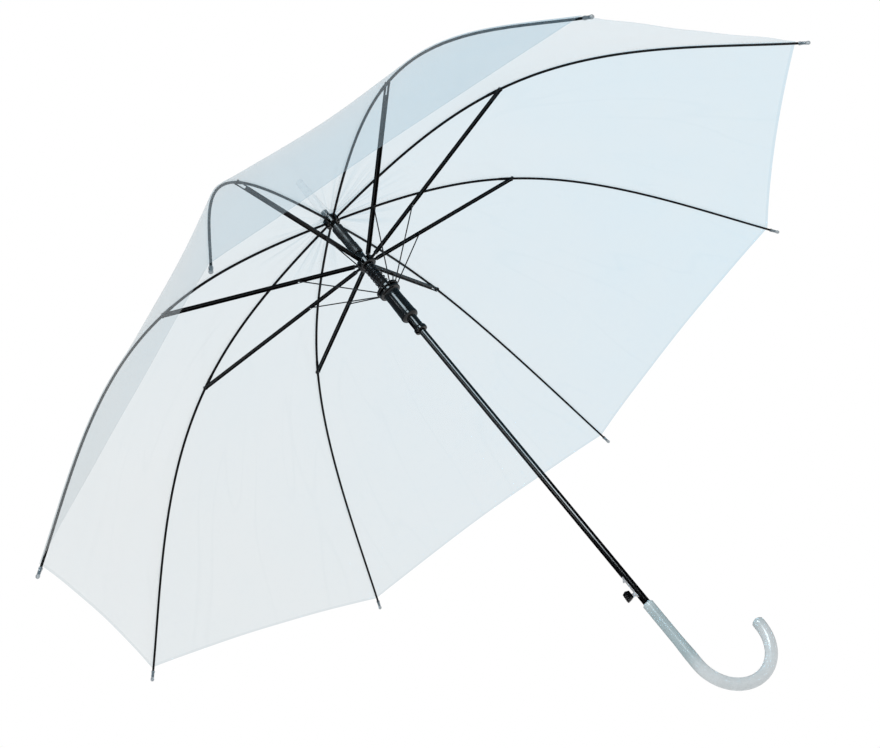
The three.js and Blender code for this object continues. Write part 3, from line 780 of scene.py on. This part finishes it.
def make_shaft_and_ferrule():
    low, high = bottom_of("ferrule") / MM, top_of("ferrule") / MM
    outline = [
        (0, low + 10.1), (BORE, low + 10.1), (BORE, low), (10.6, low), (11, low + 0.4),
        (11, low + 1.3), (10.4, low + 2), (8.6, low + 3.8), (7.2, low + 6.2), (6.4, low + 9.5),
        (5.5, low + 20), (5.3, high - 34), (5.3, high - 31), (5.0, high - 30), (4.9, high - 20),
        (4.6, high - 6), (4.4, high - 1.8), (3.9, high - 0.5), (3.3, high), (0, high),
    ]
    ferrule = turned("ferrule_spike", outline, CLEAR)
    settle(ferrule, "stick", "clear_plastic", "ferrule")


def make_trigger():
    """The button: a rounded wedge on the catch strip's stem, with ridges across its face."""
    low, high = (Vector(corner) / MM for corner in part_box("trigger_button"))
    face = []
    for ridge in range(3):
        foot = low[2] + 2 + 2.3 * ridge
        lean = low[0] + 0.1 + 0.2 * ridge
        face += [(lean + 0.4, foot), (lean, foot + 0.5), (lean, foot + 1.3), (lean + 0.4, foot + 1.8)]
    side = [(high[0], low[2] + 1.4), (low[0] + 1, low[2]), (low[0], low[2] + 1), *face,
            (low[0] + 0.9, high[2] - 1), (low[0] + 1.9, high[2]), (high[0], high[2] - 1.2)]
    count = len(side)
    vertices = [(x * MM, y * MM, z * MM) for y in (low[1], high[1]) for x, z in side]
    faces = [tuple(range(count)), tuple(reversed(range(count, 2 * count)))]
    faces += [(i, i + count, (i + 1) % count + count, (i + 1) % count) for i in range(count)]
    button = make_object("release_button", vertices, faces, MOULDING, sharp=30)
    carve(button, [], 0.3)
    settle(button, "trigger", "black_plastic", "trigger_button")


def make_handle():
    """The J handle: a slim grip that swells into the hook, with a rounded end and a collar."""
    low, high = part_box("handle")
    tube = HOOK_TUBE_RADIUS
    turn = (high[0] - tube) / 2
    grip_bottom = low[2] + turn + tube
    straight = np.linspace(high[2] - 1.2 * MM, grip_bottom, 26)[:-1]
    points = [(0, 0, z) for z in straight]
    angles = np.linspace(0, HOOK_TURN, 70)
    points += [(turn * (1 - math.cos(a)), 0, grip_bottom - turn * math.sin(a)) for a in angles]
    swell = [grip_bottom + 12 * MM, grip_bottom + 30 * MM]
    radii = [float(np.interp(z, swell, [tube, GRIP_RADIUS])) for z in straight]
    radii += [tube] * len(angles)
    radii[-1] *= 0.93
    radii[-2] *= 0.985
    handle = swept("j_handle", points, radii, MILKY, sides=40)
    settle(handle, "stick", "milky_plastic", "handle")


# ---- Studio ----
FLOOR_Z = -2.4
FLOOR_HALF = 60


def make_floor():
    corners = ((-1, -1), (1, -1), (1, 1), (-1, 1))
    vertices = [(x * FLOOR_HALF, y * FLOOR_HALF, FLOOR_Z) for x, y in corners]
    material, tree, shader = new_material("pale_floor", Roughness=0.7)
    tree.links.new(ramp(tree, noise(tree, 3, 3), [(0.3, 0.8), (0.8, 0.84)]), shader.inputs["Base Color"])
    make_object("floor", vertices, [(0, 1, 2, 3)], material)


def area_light(name, place, target, size, power, sheen_only=False, colour=(1, 1, 1)):
    data = bpy.data.lights.new(name, "AREA")
    data.shape = "RECTANGLE"
    data.size, data.size_y = size
    data.energy = power
    data.color = colour
    light = bpy.data.objects.new(name, data)
    light.location = place
    light.rotation_euler = (Vector(target) - Vector(place)).to_track_quat("-Z", "Y").to_euler()
    light.visible_diffuse = not sheen_only
    light.visible_glossy = sheen_only
    bpy.context.collection.objects.link(light)


COOL_WHITE = (0.85, 0.95, 1.0)


def make_light():
    world = bpy.data.worlds.new("studio")
    world.use_nodes = True
    world.node_tree.nodes["Background"].inputs["Color"].default_value = (1, 1, 1, 1)
    world.node_tree.nodes["Background"].inputs["Strength"].default_value = 1.0
    world.cycles_visibility.glossy = False
    bpy.context.scene.world = world
    bpy.context.scene.view_settings.view_transform = "Standard"
    middle = (0, 0, 0.45)
    area_light("key", (-1.4, -1.6, 2.4), middle, (1.8, 1.8), 20)
    sheen = {"sheen_only": True, "colour": COOL_WHITE}
    area_light("long_sheen", (-0.79, -2.24, 1.53), middle, (1.0, 1.5), 75, **sheen)
    area_light("side_sheen", (-2.3, -0.9, 1.5), middle, (0.2, 1.2), 5, sheen_only=True)


make_camera()
make_canopy()
make_ribs()
make_caps()
make_struts()
make_rivets()
make_centre()
make_runner()
make_spring()
make_shaft_and_ferrule()
make_trigger()
make_handle()
repaint(ENAMEL, "black_steel", *[f"stretcher_{k + 1}" for k in range(RIB_COUNT)])
repaint(SHAFT_ENAMEL, "black_steel", "shaft")
repaint(WIRE, "spring_steel", "notch_ring", "hub_ring")
repaint(BRIGHT, "bright_steel", "catch_strip")
make_floor()
make_light()
